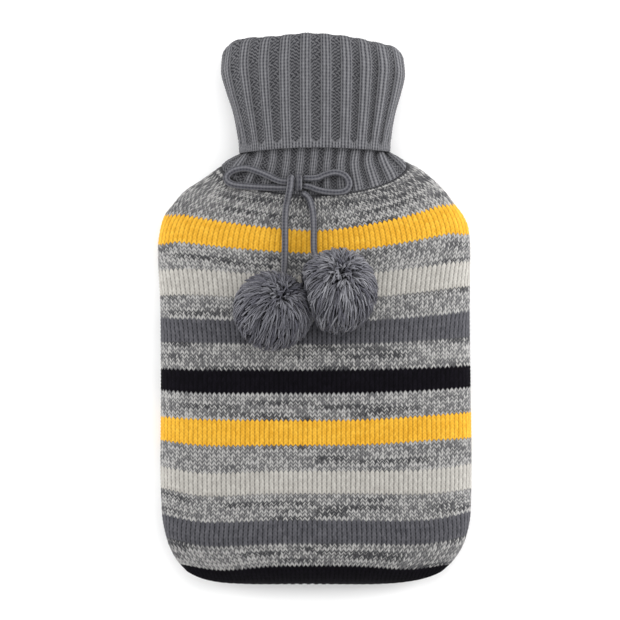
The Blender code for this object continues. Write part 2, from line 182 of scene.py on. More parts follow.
# a node in the tree of the sockets that feed it
def newNode(kind, inputs=(), tree=None, **settings):
    inputs = dict(inputs)
    feeds = {socket: value for socket, value in inputs.items() if isinstance(value, bpy.types.NodeSocket)}
    tree = tree or list(feeds.values())[0].id_data
    node = tree.nodes.new(kind)
    for key, value in settings.items():
        setattr(node, key, value)
    for socket, value in inputs.items():
        if socket in feeds:
            tree.links.new(value, node.inputs[socket])
        else:
            node.inputs[socket].default_value = value
    return node


def mathNode(operation, a, b=0.0, c=0.0):
    return newNode("ShaderNodeMath", {0: a, 1: b, 2: c}, operation=operation).outputs[0]


def times(a, b):
    return mathNode("MULTIPLY", a, b)


def minus(a, b):
    return mathNode("SUBTRACT", a, b)


def scaled(a, factor, extra):
    return mathNode("MULTIPLY_ADD", a, factor, extra)


def distance(a, b):
    return mathNode("ABSOLUTE", minus(a, b))


def larger(a, b):
    return mathNode("MAXIMUM", a, b)


def wave(a, factor=2 * math.pi):
    return mathNode("COSINE", times(a, factor))


def smoothStep(value, low, high):
    node = newNode("ShaderNodeMapRange", {0: value, 1: low, 2: high}, interpolation_type="SMOOTHSTEP")
    return node.outputs[0]


def mixValue(share, a, b):
    return newNode("ShaderNodeMix", {0: share, 2: a, 3: b}).outputs[0]


def mixColour(share, a, b, blend="MIX"):
    return newNode("ShaderNodeMix", {0: share, 6: a, 7: b}, data_type="RGBA", blend_type=blend,
                   clamp_factor=True).outputs[2]


def pair(x, y):
    return newNode("ShaderNodeCombineXYZ", {0: x, 1: y}).outputs[0]


def noise(place, detail, roughness):
    return newNode("ShaderNodeTexNoise", {"Vector": place, "Scale": 1.0, "Detail": detail,
                                          "Roughness": roughness}, noise_dimensions="2D").outputs[0]


# a new material's shader, and what the named map says across and along
def startMaterial(name, layer):
    material = bpy.data.materials.new(name)
    material.use_nodes = True
    place = newNode("ShaderNodeUVMap", tree=material.node_tree, uv_map=layer).outputs[0]
    parts = newNode("ShaderNodeSeparateXYZ", {0: place}).outputs
    return material.node_tree.nodes["Principled BSDF"], parts[0], parts[1]


# joins the colour times its shade, the bump and the plain values to the shader
def endMaterial(shader, colour, shade, height, bump, surface):
    shadeColour = newNode("ShaderNodeCombineColor", {0: shade, 1: shade, 2: shade}).outputs[0]
    links = shader.id_data.links
    links.new(mixColour(1.0, colour, shadeColour, "MULTIPLY"), shader.inputs["Base Color"])
    links.new(newNode("ShaderNodeBump", {"Height": height, **bump}).outputs[0], shader.inputs["Normal"])
    for socket, value in surface.items():
        shader.inputs[socket].default_value = value


# three knit and three purl wales, and a groove over the purl ones that ends some courses above the hem
rib = {
    "wales": 6,
    "half": 1.5,  # wales from a rib's middle to its side
    "start": 2,  # wales of a rib that lie before the front's middle
    "steep": 2.4,  # how flat a rib is on top and how steep at its sides
    "grooveEnd": 1.7,
    "grooveRise": 1.1,  # how much higher a groove ends at its sides
    "endsOver": 0.6,  # courses in which it dies out
    "sink": 0.55,  # how far the plain courses below it lie in, against the ribs' height
    "faceCourse": 200.0,  # the face is counted from here, far above any groove's end
}


# linear colours. parting, side and arms are how much shade is painted into the lines in the middle of a
# stitch, between wales and between courses, vary is how much stitches differ, and streak how many wales a
# tone lasts for. marl is half the light strand's share of a stitch, byStreak, byStitch and byFibre how far
# it varies, middle the other strand, or deep where a run is dark, and the two after it how much painted
# shade darkens it under the bow and along the yoke's edge, under the collar. ribbed is the purl side's
# contrast, and the two after it the painted shade in the purl wales and in the lines beside them. On the
# rib and cord yarns, deep is the painted shade between stitches
plain = {"streak": 9.0, "parting": 0.0, "side": 0.06, "arms": 0.16, "vary": 0.22, "sheen": 0.04}
yarns = {
    "melangeYarn": {
        **plain, "light": (0.33, 0.325, 0.317, 1), "deep": (0.052, 0.052, 0.056, 1), "streak": 24.0,
        "parting": 0.46, "side": 0.34, "arms": 0.06, "sheen": 0.05, "marl": 0.190, "byStreak": 0.56,
        "byStitch": 0.46, "byFibre": 0.50, "middle": (0.128, 0.127, 0.131, 1), "bowShade": 0.09, "yokeEdgeShade": 0.85},
    "yellowYarn": {
        **plain, "light": (0.69, 0.388, 0.040, 1), "deep": (0.61, 0.30, 0.018, 1), "parting": 0.40,
        "vary": 0.12},
    "paleYarn": {
        **plain, "light": (0.43, 0.415, 0.385, 1), "deep": (0.345, 0.33, 0.305, 1), "parting": 0.50,
        "arms": 0.14, "vary": 0.12, "sheen": 0.06},
    "charcoalYarn": {
        **plain, "light": (0.097, 0.096, 0.107, 1), "deep": (0.060, 0.060, 0.069, 1), "parting": 0.70,
        "side": 0.12, "arms": 0.20},
    "blackYarn": {
        **plain, "light": (0.0045, 0.0036, 0.0062, 1), "deep": (0.0016, 0.0012, 0.0024, 1),
        "parting": 0.40, "side": 0.10, "arms": 0.15, "vary": 0.20, "sheen": 0.0},
    "ribYarn": {
        **plain, "light": (0.200, 0.200, 0.211, 1), "deep": (0.014, 0.014, 0.020, 1), "side": 0.0,
        "arms": 0.06, "ribbed": 0.80, "groove": 0.20, "grooveEdgeShade": 0.22},
    "cordYarn": {
        **plain, "light": (0.150, 0.150, 0.163, 1), "deep": (0.016, 0.016, 0.024, 1), "streak": 6.0,
        "side": 0.0, "arms": 0.10, "vary": 0.20, "sheen": 0.05, "corded": True},
}
knitSurface = {"Roughness": 0.92, "Sheen Roughness": 0.6, "Specular IOR Level": 0.08}
knitBump = {"Strength": 0.45, "Distance": 0.00018}


# the knit side's dots and light lines: light between wales, and dark dots of painted shade where the legs
# of a stitch part
def knitTone(wale, course):
    between, beat = scaled(wave(wale), 0.5, 0.5), wave(course)
    lines = times(between, scaled(beat, -0.14, 0.86))
    return mathNode("ADD", lines, times(minus(1.0, between), scaled(beat, 0.22, 0.23)))


# the purl side's short strokes, which lean one way or the other from place to place, with painted shade
# between them
def purlTone(wale, course, lean):
    across, along = times(wale, math.pi / 0.75), times(course, 2 * math.pi)
    rising = mathNode("COSINE", mathNode("ADD", across, along))
    falling = mathNode("COSINE", minus(across, along))
    return scaled(mixValue(lean, rising, falling), 0.5, 0.5)


# a knitted yarn; its stitch map counts wales across, with a stitch between two whole numbers, and courses
# along, which on the ribs are counted up from the hem
def yarnMaterial(name):
    spec = yarns[name]
    shader, wale, course = startMaterial(name, "stitches")
    courseCell = mathNode("FLOOR", course)
    cell = pair(mathNode("FLOOR", times(wale, 2.0)), courseCell)  # two legs to a stitch
    chance = newNode("ShaderNodeTexWhiteNoise", {"Vector": cell}, noise_dimensions="2D").outputs[0]
    run = mathNode("DIVIDE", wale, spec["streak"])
    streak = noise(pair(run, times(courseCell, 2.37)), 1.0, 0.5)  # courses far enough apart to differ
    fibres = noise(pair(times(wale, 4.0), times(course, 9.0)), 3.0, 0.65)
    byStitch, byFibre = minus(chance, 0.5), minus(fibres, 0.5)
    fromArm = distance(mathNode("FRACT", scaled(byStitch, 0.34, course)), 0.5)
    fromMiddle = distance(mathNode("FRACT", wale), 0.5)

    other = spec["deep"]
    if "marl" in spec:  # a light strand twisted with a dark one
        # painted shade: the melange is darker in front, in the courses just under the bow
        ahead = wave(wale, 2 * math.pi / outline["wales"])
        underBowShade = times(smoothStep(course, -6.0, -4.0), spec["bowShade"])
        streak = minus(streak, times(smoothStep(ahead, 0.45, 0.90), underBowShade))
        # painted shadow in a line along the yoke's edge, under the collar
        streak = minus(streak, times(smoothStep(course, -0.8, -0.35), spec["yokeEdgeShade"]))
        width = scaled(minus(streak, 0.5), spec["byStreak"], spec["marl"])
        width = scaled(byFibre, spec["byFibre"], scaled(byStitch, spec["byStitch"], width))
        lightShare = smoothStep(minus(width, fromArm), -0.16, 0.16)
        other = mixColour(smoothStep(streak, 0.33, 0.47), spec["deep"], spec["middle"])
    elif "ribbed" in spec:
        place = mathNode("FLOORED_MODULO", wale, rib["wales"])
        fromRib = distance(place, rib["half"])
        fromGroove = mathNode("DIVIDE", minus(place, 3 * rib["half"]), rib["half"])
        past = minus(course, scaled(times(fromGroove, fromGroove), rib["grooveRise"], rib["grooveEnd"]))
        knit = larger(smoothStep(fromRib, 1.6, 1.4), smoothStep(past, 0.2, -0.2))
        purl = scaled(purlTone(wale, course, smoothStep(streak, 0.40, 0.60)), spec["ribbed"], 0.06)
        purl = larger(purl, times(smoothStep(mathNode("ABSOLUTE", past), 0.55, 0.2), 0.85))
        lightShare = mixValue(knit, purl, knitTone(wale, course))
    elif "corded" in spec:
        lightShare = knitTone(wale, course)
    else:
        lightShare = scaled(chance, 0.5, scaled(minus(streak, 0.5), 0.7, 0.25))
    colour = mixColour(lightShare, other, spec["light"])

    # little light reaches the lines between stitches, and no two stitches look quite the same
    deepest = scaled(wave(course), 0.3 * spec["parting"], 0.85 * spec["parting"])
    parting = times(smoothStep(fromMiddle, 0.25, 0.05), deepest)
    side = times(smoothStep(fromMiddle, 0.40, 0.49), spec["side"])
    gap = larger(larger(parting, side), times(smoothStep(fromArm, 0.30, 0.48), spec["arms"]))
    shade = scaled(byFibre, spec["vary"] * 2.0, scaled(byStitch, spec["vary"], 1.0))
    shade = times(shade, minus(1.0, gap))
    # painted shade in the purl grooves, darkest in the lines along the ribs' sides
    if "ribbed" in spec:
        grooveShading = scaled(knit, spec["groove"], 1.0 - spec["groove"])
        grooveEdgeShade = times(smoothStep(past, 0.0, 1.0), spec["grooveEdgeShade"])
        shade = times(shade, minus(grooveShading, times(smoothStep(distance(fromRib, 1.62), 0.45, 0.0), grooveEdgeShade)))
    plies = mathNode("SINE", scaled(course, 12.6, times(wale, 18.0)))
    endMaterial(shader, colour, shade, scaled(plies, 0.35, fibres), knitBump,
                {**knitSurface, "Sheen Weight": spec["sheen"]})


for yarn in yarns:
    yarnMaterial(yarn)
print("yarns made:", len(yarns))


def addObject(name, data):
    added = bpy.data.objects.new(name, data)
    bpy.context.scene.collection.objects.link(added)
    return added


# in millimetres; the width of the view is measured at the plane's height
camera = {"across": -3.0, "along": -0.6, "distance": 3000.0, "plane": 25.0, "view": 396.8, "sensor": 36.0,
          "farthest": 20000.0}
cameraData = bpy.data.cameras.new("camera")
cameraData.sensor_width = camera["sensor"]
cameraData.lens = camera["sensor"] * (camera["distance"] - camera["plane"]) / camera["view"]
cameraData.clip_end = camera["farthest"] * mm
cameraObject = addObject("camera", cameraData)
cameraObject.location = [camera[key] * mm for key in ("across", "along", "distance")]
bpy.context.scene.camera = cameraObject
bpy.context.scene.view_settings.view_transform = "Standard"

studio = {
    # place and size in metres and power in watts; all are aimed at the middle of the floor
    "lamps": {
        "above": ((0.10, 0.70, 1.40), 1.2, 6.5),
        "left": ((-1.25, 0.10, 0.44), 0.7, 11.5),
        "right": ((1.25, 0.30, 0.44), 0.7, 17.0),
    },
    "world": 0.96,
    "floor": 0.96,
    "floorRoughness": 0.8,
    "floorReach": 3.0,
}
for name, (place, size, power) in studio["lamps"].items():
    lamp = bpy.data.lights.new(name, "AREA")
    lamp.size = size
    lamp.energy = power
    lampObject = addObject(name, lamp)
    lampObject.location = place
    lampObject.visible_camera = False
    tilt = math.atan2(math.hypot(place[0], place[1]), place[2])
    lampObject.rotation_euler = (tilt, 0.0, math.atan2(place[0], -place[1]))

world = bpy.data.worlds.new("studio")
world.use_nodes = True
world.node_tree.nodes["Background"].inputs[0].default_value = (1.0, 1.0, 1.0, 1.0)
world.node_tree.nodes["Background"].inputs[1].default_value = studio["world"]
bpy.context.scene.world = world

reach = studio["floorReach"]
floorMesh = bpy.data.meshes.new("floor")
floorMesh.from_pydata([(x * reach, y * reach, 0) for x, y in ((-1, -1), (1, -1), (1, 1), (-1, 1))],
                      [], [(0, 1, 2, 3)])
floorMaterial = bpy.data.materials.new("floorPaint")
floorMaterial.use_nodes = True
floorShader = floorMaterial.node_tree.nodes["Principled BSDF"]
floorShader.inputs["Base Color"].default_value = [studio["floor"]] * 3 + [1.0]
floorShader.inputs["Roughness"].default_value = studio["floorRoughness"]
floorMesh.materials.append(floorMaterial)
addObject("floor", floorMesh)
print("camera, lights and floor set")


# a mesh from points, the corners of its faces in one list, each face's number of corners, and its maps
def meshPiece(name, points, corners, sizes, maps, materials, slots=0):
    mesh = bpy.data.meshes.new(name)
    mesh.vertices.add(len(points))
    mesh.vertices.foreach_set("co", points.reshape(-1))
    mesh.loops.add(len(corners))
    mesh.loops.foreach_set("vertex_index", corners.astype(np.int32))
    mesh.polygons.add(len(sizes))
    mesh.polygons.foreach_set("loop_start", (np.cumsum(sizes) - sizes).astype(np.int32))
    mesh.polygons.foreach_set("loop_total", sizes.astype(np.int32))
    for material in materials:
        mesh.materials.append(bpy.data.materials[material])
    mesh.polygons.foreach_set("material_index", np.zeros(len(sizes), dtype=np.int32) + np.int32(slots))
    mesh.update(calc_edges=True)
    for layer, values in maps.items():
        mesh.uv_layers.new(name=layer).uv.foreach_set("vector", values.reshape(-1).astype(np.float32))
    mesh.validate()
    mesh.shade_smooth()
    return addObject(name, mesh)


# rows for loftRows, each of which runs from its own course and bake place to the next one's
def gridRows(points, courses, bakes, wales, slots=0, waleShift=0):
    following = np.append(courses[1:], courses[-1:])
    slots = np.zeros(len(points), dtype=int) + slots
    return [{"points": points[j], "wales": wales, "waleShift": waleShift, "course": courses[j],
             "courseTo": following[j], "bake": (bakes[j], bakes[j + 1]), "slot": slots[j]}
            for j in range(len(points))]


# joins rows of points into a mesh; a row may have a quarter of its neighbour's points. A row also holds the
# stitch map's wales and courses, its place in the bake map and the slot of the yarn above it
def loftRows(name, rows, closed, materials, capped=False, flipped=False):
    points = [row["points"] for row in rows]
    starts = np.concatenate([[0], np.cumsum([len(ring) for ring in points])])
    faces, stitchUv, bakeUv, slots = [], [], [], []
    for j in range(len(rows) if closed else len(rows) - 1):
        lower, after = rows[j], (j + 1) % len(rows)
        a, b = starts[j], starts[after]
        n, m = len(points[j]), len(points[after])
        i = np.arange(min(n, m))
        if n == m:
            k = (i + 1) % n
            loops = np.stack([a + i, a + k, b + k, b + i], axis=1)
            across = np.stack([i, i + 1, i + 1, i], axis=1) / n
            up = np.array([0, 0, 1, 1]) * np.ones_like(across)
        else:
            fine, coarse = (a, b) if n > m else (b, a)
            small, large = min(n, m), max(n, m)
            ratio = large // small
            steps = ratio * i[:, None] + np.arange(ratio + 1)
            ends = np.stack([i + 1, i], axis=1)
            loops = np.concatenate([fine + steps % large, coarse + ends % small], axis=1)
            across = np.concatenate([steps / large, ends / small], axis=1)
            up = np.where(np.arange(ratio + 3) <= ratio, n < m, n > m) * np.ones_like(across)
        if flipped != (n < m):
            loops, across, up = (values[:, ::-1] for values in (loops, across, up))
        course = lower["course"] + (lower["courseTo"] - lower["course"]) * up
        wale = across * lower["wales"] + lower["waleShift"]
        stitchUv.append(np.stack([wale, course], axis=-1).reshape(-1, 2))
        v = lower["bake"][0] + (lower["bake"][1] - lower["bake"][0]) * up
        bakeUv.append(np.stack([across, v], axis=-1).reshape(-1, 2))
        faces.append(loops)
        slots += [lower["slot"]] * len(loops)
    if capped:
        for row, start, step in ((rows[0], starts[0], -1), (rows[-1], starts[-2], 1)):
            loop = start + np.arange(len(row["points"]))[::step]
            faces.append(loop[None, :])
            stitchUv.append(np.full((len(loop), 2), 0.25))
            bakeUv.append(0.5 + 0.01 * np.random.default_rng(1).random((len(loop), 2)))
            slots.append(row["slot"])
    corners = np.concatenate([face.reshape(-1) for face in faces])
    sizes = np.concatenate([np.full(len(face), face.shape[1]) for face in faces])
    maps = {"OFBake": np.concatenate(bakeUv), "stitches": np.concatenate(stitchUv)}
    return meshPiece(name, np.concatenate(points), corners, sizes, maps, materials, slots)


# puts a piece in the place of a plain solid
def settle(piece, node):
    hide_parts(node)
    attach(piece, "root")


# how a stitch stands out of the cloth at a quarter, half and three quarters of its width
stitch = {
    "columns": 4,
    "rows": 3,
    "slant": 0.38,  # how far the legs climb to either side, in courses
    "edge": 0.62,  # height of the gap between wales against the legs
    "courseDip": 0.42,  # how far the cloth falls in between courses
    "level": 0.6,  # the height in the ribs' stitches that the cloth's thickness goes up to
}


# the way along the course that a column is moved by, from the middle of a stitch outwards
def slantOf(columns):
    phase = columns % stitch["columns"]
    return np.array([1.0, 0.0, -1.0, 0.0])[phase] * stitch["slant"]


# height of the knit side's stitches, from 0 to 1, at columns and rows of the grid
def knitRelief(columns, rowPhase):
    across = np.array([stitch["edge"], 1.0, 0.0, 1.0])[columns % stitch["columns"]]
    along = np.array([1.0 - stitch["courseDip"], 1.0, 1.0])[rowPhase % stitch["rows"]]
    return along[:, None] * across[None, :]


# purl stitches are low bars across the wale, set half a course apart in neighbouring columns
def purlRelief(columns, rowPhase):
    bars = np.array([[1.0, 0.35, 0.15, 0.35], [0.45, 0.9, 0.35, 0.9], [0.15, 0.5, 1.0, 0.5]])
    return bars[rowPhase % stitch["rows"]][:, columns % stitch["columns"]]


body = {
    "relief": 0.55,
    "endCourse": 2.0,  # courses over which the slant dies out at the yoke and at the bottom seam
    # yarn and courses of each stripe, from the yoke down, and the stripe's upper edge: its level in the
    # middle, at the left and at the right side, how square the edge's sag is, how far the wales are
    # spread out in front, how far the edge dips halfway to the left and to the right, and how far it
    # rolls down where the body turns to the back
    "stripes": [
        ("melangeYarn", 10, 73, 92, 95.6, 2, 0, 0, 0, 0),
        ("yellowYarn", 7, 49.7, 62.4, 69.5, 1.5, 0.12, 0, 0, 2.3),
        ("melangeYarn", 7, 35.5, 44.6, 51.2, 1.5, 0.12, 0, 0, 3.2),
        ("paleYarn", 7, 20.8, 25.9, 31.7, 1.6, 0.06, -1.2, 0, 1),
        ("melangeYarn", 6, 5.8, 9, 15.1, 1.8, 0.03, -1.1, 0, 0.5),
        ("charcoalYarn", 6, -8, -5.7, -1.3, 2, 0.02, -0.3, 0, 0),
        ("melangeYarn", 7, -22.3, -20.7, -17.6, 2, 0, 0, 0, 0),
        ("blackYarn", 6, -38.9, -38.1, -36.1, 2, 0, 0.4, 0, 0),
        ("melangeYarn", 7, -53.6, -51.8, -49.9, 2, 0, 0.8, 0, 0),
        ("yellowYarn", 7, -71, -68.8, -65.9, 2, 0, 0.5, -0.4, 0),
        ("melangeYarn", 7, -86.7, -83.8, -82.2, 2.5, 0, 1.5, -1, 0),
        ("paleYarn", 6, -103.1, -100.5, -98.9, 3, 0, 2.5, 0.8, 0),
        ("melangeYarn", 7, -117.7, -114.5, -114.9, 4, 0, 2.4, 1, 0),
        ("charcoalYarn", 6, -134.5, -131.2, -129.3, 4, 0.03, 2.2, 1.4, 0),
        ("melangeYarn", 6, -149.3, -145.9, -144.6, 5, 0.08, 2.6, 1.4, 0),
        ("blackYarn", 5, -163.8, -163.4, -163.6, 6, 0.10, 3.1, 2.4, 0),
    ],
    "bottom": (-176, -167.2, -167.2, 14, 0.12, 0, 0, 0),
    "turn": (0.85, 0.15),  # share of the reach at which a side starts to turn back, and for which it does
    # first and last stripe of each piece, and the height of its cloth laid flat
    "pieces": [("body_shoulder", 0, 4, 0.082), ("body_upper", 4, 8, 0.070), ("body_lower", 8, 12, 0.076),
               ("body_foot", 12, 16, 0.069)],
    "flatRound": 0.42,  # and the way round it
    "seam": ((0.35, 0.4), (0.7, 0.7), (0.97, 0.3)),  # how far each row is closed, and how deep it hangs
    "innerSeam": (0.95, 0.5),
    "innerStep": 2,  # courses between the rows of the smooth inner face
    "innerEnd": 1.5,  # courses above the seam where the inner face ends
    "bake": (0.92, 0.93),  # where the outer face ends in the bake map, and where the inner one starts
}

courseEdges = np.concatenate([[0], np.cumsum([stripe[1] for stripe in body["stripes"]])])
edgeTable = [(course, *stripe[2:]) for course, stripe in zip(courseEdges, body["stripes"])]
edgeTable.append((courseEdges[-1], *body["bottom"]))
edgeAt = smoothTable(edgeTable, 1.0)


# rings of the body's outline at a list of courses, counted down from the yoke
def bodyRings(courses, shares, inset, floor):
    edge = np.moveaxis(edgeAt(courses), -1, 0)
    power, crowd = edge[3][:, None], edge[4]
    turnFrom, turnOver = body["turn"]
    middle, left, right, _, _, dipLeft, dipRight, roll = edge[:, :, None] * mm

    def lineOf(x, row):
        reach = np.where(x < 0, row[..., 0], row[..., 1])
        share = np.clip(np.abs(x) / reach, 0, 1)
        dip = np.where(x < 0, dipLeft, dipRight) * (4 * share**2 * (1 - share**2)) ** 2
        turned = np.clip((share - turnFrom) / turnOver, 0, 1)
        rolled = roll * turned**2 * (3 - 2 * turned)
        return middle + (np.where(x < 0, left, right) - middle) * share**power - dip - rolled

    return ringPoints(skinAt, middle[:, 0], lineOf, shares, inset, floor, crowd)


# a ring drawn together front to back by a share, and let down
def pinched(ring, share, drop):
    opposite = ring[(len(ring) // 2 - np.arange(len(ring))) % len(ring)]
    points = ring * (1 - share) + (ring + opposite) / 2 * share
    points[:, 1] -= drop * mm
    return points


def stripedBody():
    wales, relief, wall = outline["wales"], body["relief"] * mm, outline["wall"] * mm
    columns = np.arange(wales * stitch["columns"])
    last, perCourse = int(courseEdges[-1]), 2
    base = bodyRings(np.arange(last * perCourse + 1) / perCourse, columns / len(columns), relief, relief)
    normals = gridNormals(base)
    if normals[len(base) // 2, 0, 2] < 0:
        normals = -normals
    outerEnd, innerStart = body["bake"]
    made = []
    for name, first, end, _ in body["pieces"]:
        stripes = body["stripes"][first:end]
        start, stop = int(courseEdges[first]), int(courseEdges[end])
        palette = sorted({stripe[0] for stripe in stripes})
        slotOf = np.array([palette.index(stripe[0]) for stripe in stripes for _ in range(stripe[1])])
        rowCount = (stop - start) * stitch["rows"]
        rowPhase = np.arange(rowCount + 1)
        course = start + rowPhase / stitch["rows"]
        fade = np.clip(np.minimum(course, last - course) / body["endCourse"], 0, 1)[:, None]
        wanted = (course[:, None] - slantOf(columns) * fade) * perCourse
        height = (knitRelief(columns, rowPhase) * relief)[..., None]
        points = sampleRows(base, wanted, columns) + sampleRows(normals, wanted, columns) * height
        bakes = outerEnd * np.minimum(np.arange(rowCount + 2), rowCount) / rowCount
        slots = slotOf[np.minimum(rowPhase, rowCount - 1) // stitch["rows"]]
        rows = gridRows(points, -course, bakes, wales, slots)
        # the smooth inner face, from the lower edge back up
        innerCourses = np.arange(stop, start - 1, -body["innerStep"], dtype=float)
        if innerCourses[-1] != start:
            innerCourses = np.append(innerCourses, start)
        innerShares = np.arange(wales) / wales
        inner = bodyRings(np.minimum(innerCourses, last - body["innerEnd"]), innerShares, wall, wall)
        if stop == last:
            # the last course meets itself along the bottom, stitch by stitch, and the inner face too
            looped = 0.5 - 0.5 * np.cos(math.pi * (columns - 2) / stitch["columns"])
            rows += [{**rows[-1], "points": pinched(points[-1], share, drop * looped)}
                     for share, drop in body["seam"]]
            inner, innerCourses = inner[1:], innerCourses[1:]
            rows += gridRows([pinched(inner[0], *body["innerSeam"])], [-last], body["bake"], wales)
        slots = slotOf[np.maximum(innerCourses.astype(int) - start - 1, 0)]
        bakes = np.linspace(innerStart, 1.0, len(inner) + 1)
        rows += gridRows(inner, -innerCourses, bakes, wales, slots)
        piece = loftRows(name, rows, True, palette)
        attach(piece, "root")
        made.append(piece)
        print("striped body:", name, len(piece.data.polygons), "faces")
    return made


bodyPieces = stripedBody()
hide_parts("cover_body")


collar = {
    "ribs": 22,
    "ribHeight": 1.1,
    "relief": 0.42,
    "course": 2.05,  # height of a course
    "gap": 1.5,  # room between the neck and the collar turned down over it
    "top": 176.0,
    "hem": 101.8,
    "hemWall": 2.0,
    "skew": 0.19,  # how much steeper the yoke's lower edge rises on the right
    "yokeFine": 16,  # courses of the yoke with their stitches worked out
    "mouthFine": 4,  # and of the inside, below the fold
    "plainSteps": (1.5, 2.0),  # courses between the smooth rows of the face and of the back
    "bake": ((0.0, 0.26), (0.27, 0.32), (0.33, 0.93), (0.94, 1.0)),  # where each run of rows is in the map
    "shift": 0.2,  # wales that the ribs are moved to the left
    # how far grooves are drawn together, the shares of the way round between which they are, and the fade
    "squeeze": (0.38, 0.60, 0.97, 0.10),
    # height at the middle, rise at the sides, strength of the ribs, crowding and twist of the wales
    "yoke": [
        (72.6, 19, 0, -0.30, 1.4), (76, 17.5, 0.8, -0.28, 1.4), (82, 13.7, 1, -0.24, 1.3),
        (91, 7.6, 1, -0.14, 1), (98, 2.3, 1, -0.05, 0.5),
    ],
    "neck": [(0.08, 0.6), (0.40, 0.3), (0.72, 0.3)],  # shares of the way from hem to top, and ribs' strength
    # how far the top edge lies under its highest point, across from left to right
    "droop": [
        (-60, 14), (-58.6, 12), (-51, 5.3), (-46.5, 3.7), (-40, 3.1), (-27, 2.4), (-16, 1.2),
        (-5, 0.1), (3, 0.4), (12, 1.2), (24.4, 3), (30.8, 4.4), (42.4, 7), (47.8, 8.1),
        (52.3, 10.3), (55.9, 13.7), (57.5, 16.2),
    ],
    "fold": (0.20, 0.0, 0.04, 0.016),  # strength of the ribs, and the rest as below
    "foldSteps": 6,
    # shares of the way from hem to top, crowding, gathering and lean to the left of the wales
    "down": [
        (0.78, 0.02, 0.06, 0.016), (0.58, 0.02, 0.12, 0.015), (0.38, 0, 0.22, 0.012),
        (0.18, -0.06, 0.32, 0.009), (0.03, -0.10, 0.36, 0.008), (0, -0.10, 0.36, 0.008),
    ],
    "hemSag": (1.2, 3.6, 2.6, 48.0),  # rise at the middle, fall to the left and right, half the hem's width
    "flat": (0.30, 0.175),  # way round and height of the cloth laid flat
}


droopAt = smoothTable(collar["droop"])


# stations along the ribbed piece: the middle of the cloth, its thickness and how far its ribs stand out
def collarStations(shares):
    wall, half = outline["wall"] * mm, outline["wall"] * mm / 2
    top, hem = collar["top"] * mm, collar["hem"] * mm
    neckInset = wall + collar["gap"] * mm + half
    foldRadius = (neckInset - half) / 2
    topShare = 1 - (foldRadius + half) / (top - hem)
    floor = (collar["ribHeight"] + collar["relief"]) * mm + half
    squeeze, low, high, fade = collar["squeeze"]
    onRight = np.clip((high - shares) / fade, 0, 1) * np.clip((shares - low) / fade, 0, 1)
    grooveMiddle = collar["shift"] + 3 * rib["half"] - rib["start"]
    fromGroove = 2 * math.pi * (shares * collar["ribs"] - grooveMiddle / rib["wales"])
    drawn = squeeze * onRight * np.sin(fromGroove) / (2 * math.pi * collar["ribs"])
    rings, walls, ribs = [], [], []

    def add(tableAt, inset, lineOf, nominal, strength, crowd, thickness=wall, twist=0.0, gather=0.0,
            lean=0.0, pull=0.0):
        turned = shares + twist / (collar["ribs"] * rib["wales"])
        turned = turned + lean * (1 - np.cos(2 * math.pi * shares)) / 2 - drawn * pull
        rings.append(ringPoints(tableAt, [nominal], lineOf, turned, inset, floor, crowd, gather)[0])
        walls.append(thickness)
        ribs.append(strength)

    for middle, rise, strength, crowd, twist in collar["yoke"]:
        def yokeLine(x, row, middle=middle, rise=rise):
            reach = np.where(x < 0, row[..., 0], row[..., 1]) - half / 2
            steeper = 1 + collar["skew"] * (x > 0)
            return (middle + rise * steeper * np.clip(np.abs(x) / reach, 0, 1) ** 2) * mm
        add(skinAt, half, yokeLine, middle * mm, strength, crowd, twist=twist, pull=1.0)

    rise, left, right, width = (value * mm for value in collar["hemSag"])

    def levelAt(share, x):
        return hem + share * (top - droopAt(x)[..., 0] - hem)

    def collarLine(share, lift=0.0):
        def line(x, row):
            sag = rise - np.where(x < 0, left, right) * (x / width) ** 2
            return levelAt(share, x) + sag * (1 - share) ** 2 + lift
        return line

    for share, strength in collar["neck"]:
        add(collarAt, neckInset, lambda x, row, share=share: levelAt(share, x), hem + share * (top - hem),
            strength, 0.0)
    strength, crowd, gather, lean = collar["fold"]
    for part in np.arange(collar["foldSteps"] + 1) / collar["foldSteps"]:
        turn = math.pi * part
        line = collarLine(topShare, foldRadius * math.sin(turn))
        add(collarAt, neckInset - foldRadius * (1 - math.cos(turn)), line, hem + topShare * (top - hem),
            strength, crowd * part, gather=gather * part, lean=lean * part, pull=-part)
    for share, crowd, gather, lean in collar["down"]:
        thickness = wall if share > 0 else collar["hemWall"] * mm
        # grooves as seen are ribs on the other side
        add(collarAt, half, collarLine(share), hem + share * (top - hem), 1.0, crowd, thickness,
            gather=gather, lean=lean, pull=-1.0)
    return np.stack(rings), np.array(walls), np.array(ribs)


# a smooth curve through rings at the distances s, for a list of wanted distances
def alongStations(rings, s, wanted):
    pull = np.concatenate([
        (rings[1:2] - rings[:1]) / (s[1] - s[0]), (rings[2:] - rings[:-2]) / (s[2:] - s[:-2])[:, None, None],
        (rings[-1:] - rings[-2:-1]) / (s[-1] - s[-2])])
    return curveThrough(s, rings, pull, wanted)


